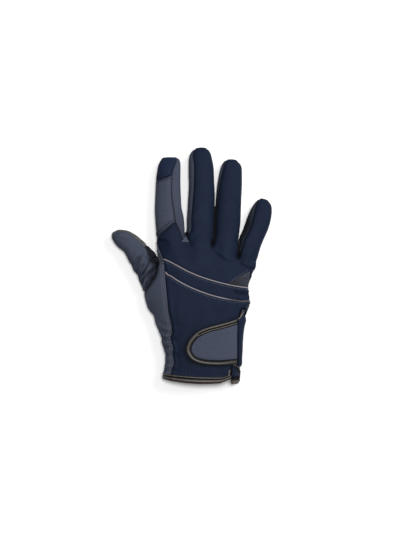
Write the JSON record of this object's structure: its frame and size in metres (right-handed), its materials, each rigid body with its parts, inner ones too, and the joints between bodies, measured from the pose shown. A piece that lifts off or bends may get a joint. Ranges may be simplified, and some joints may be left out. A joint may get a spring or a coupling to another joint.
{
  "type": "horse riding glove",
  "caption": "Soft riding glove for the right hand: hollow finger and thumb sleeves, stretch back, suede palm, piping across the back and a rounded wrist strap over a side vent.",
  "frame": {"origin": "middle of the palm's flat underside, where the glove lies on a surface", "axes": "+Y towards the fingertips, +Z out through the back of the hand, +X towards the little finger"},
  "size_m": [0.1603, 0.2363, 0.0255],
  "materials": {
    "softshell_navy": "matt stretch cloth",
    "suede_blue_grey": "matt napped synthetic suede",
    "piping_taupe": "satin corded piping",
    "binding_olive_grey": "satin synthetic leather",
    "satin_grey": "smooth satin cloth"
  },
  "bodies": {
    "root": {"back_finger_panel": "softshell_navy", "back_band": "softshell_navy", "back_wrist_panel": "softshell_navy", "side_panel": "softshell_navy", "index_tip": "softshell_navy", "thumb_gusset": "softshell_navy", "strap_anchor": "softshell_navy", "palm_panel": "suede_blue_grey", "index_patch": "suede_blue_grey", "thumb_back": "suede_blue_grey", "thumb_front": "suede_blue_grey", "fourchette_index_middle": "suede_blue_grey", "fourchette_middle_ring": "suede_blue_grey", "fourchette_ring_little": "suede_blue_grey", "strap_field": "suede_blue_grey", "piping_upper": "piping_taupe", "piping_lower": "piping_taupe", "thumb_welt": "binding_olive_grey", "cuff_binding": "binding_olive_grey", "strap_binding": "binding_olive_grey", "side_insert": "satin_grey"}
  },
  "joints": []
}
